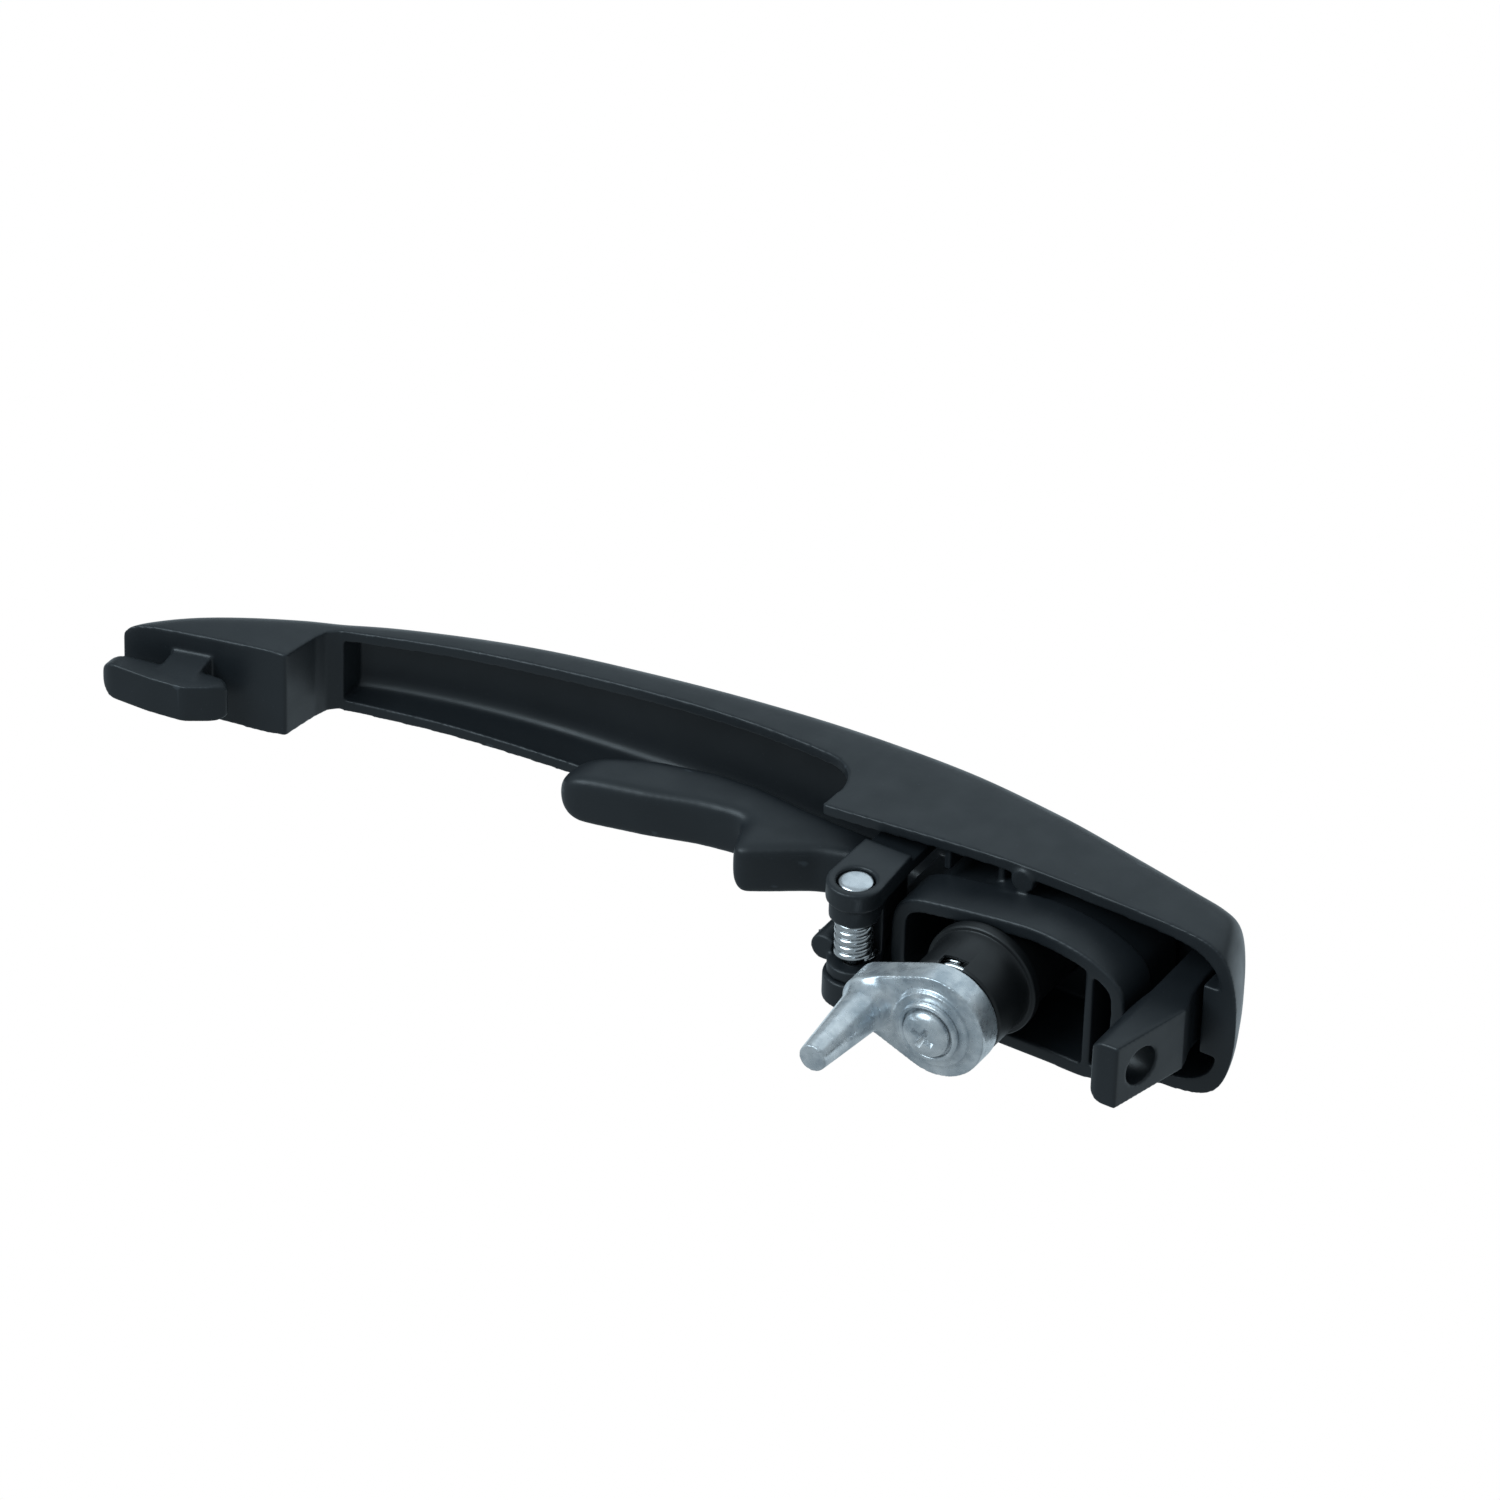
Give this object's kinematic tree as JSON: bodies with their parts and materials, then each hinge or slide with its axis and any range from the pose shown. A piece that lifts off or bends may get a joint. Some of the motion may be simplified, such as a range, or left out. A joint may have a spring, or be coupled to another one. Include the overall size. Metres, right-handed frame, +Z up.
{
  "type": "car door handle",
  "caption": "Bowed exterior pull handle for a car door, with a sprung squeeze trigger, a key lock and a crank that works the latch.",
  "frame": {"origin": "middle of the rear rim wall, on the plane where the rear of the handle seats on the door skin", "axes": "+X along the handle towards the lock end, +Y out of the door, +Z up"},
  "size_m": [0.2301, 0.0786, 0.0368],
  "materials": {
    "body_black": "satin, fine grain",
    "trigger_black": "satin",
    "barrel_black": "satin",
    "zinc_plate": "zinc plated casting",
    "bright_steel": "plated",
    "spring_steel": "bright drawn wire",
    "plug_zinc": "cast",
    "brass": "stamped",
    "stainless": "pressed sheet",
    "seal_rubber": "matte"
  },
  "bodies": {
    "handle": {"handle_body": "body_black", "pivot_pin": "bright_steel", "trigger_spring": "spring_steel", "lock_barrel": "barrel_black", "lock_face_cap": "stainless", "barrel_seal": "seal_rubber", "centring_spring": "spring_steel"},
    "trigger": {"trigger": "trigger_black"},
    "lock_core": {"lock_plug": "plug_zinc", "wafer_1": "brass", "wafer_2": "brass", "wafer_3": "brass", "wafer_4": "brass", "wafer_5": "brass", "wafer_6": "brass", "wafer_7": "brass", "wafer_8": "brass", "shutter_pin": "bright_steel", "lock_lever": "zinc_plate", "lever_washer": "bright_steel", "lever_screw": "bright_steel"},
    "shutter": {"keyway_shutter": "stainless"}
  },
  "joints": [
    {"name": "trigger_pivot", "type": "hinge", "parent": "handle", "child": "trigger", "pos_m": [-0.0686, -0.014, 0], "axis": [0, 0, -1], "range_deg": [0, 14], "stiffness_Nm_per_rad": 1.5, "springref_deg": -11.46},
    {"name": "lock_turn", "type": "hinge", "parent": "handle", "child": "lock_core", "pos_m": [-0.0434, 0, 0], "axis": [0, 1, 0], "range_deg": [-60, 60], "stiffness_Nm_per_rad": 0.05},
    {"name": "shutter_swing", "type": "hinge", "parent": "lock_core", "child": "shutter", "pos_m": [-0.04515, 0.0187, 0], "axis": [0, 0, -1], "range_deg": [0, 70], "stiffness_Nm_per_rad": 0.0005, "springref_deg": -17.19}
  ]
}
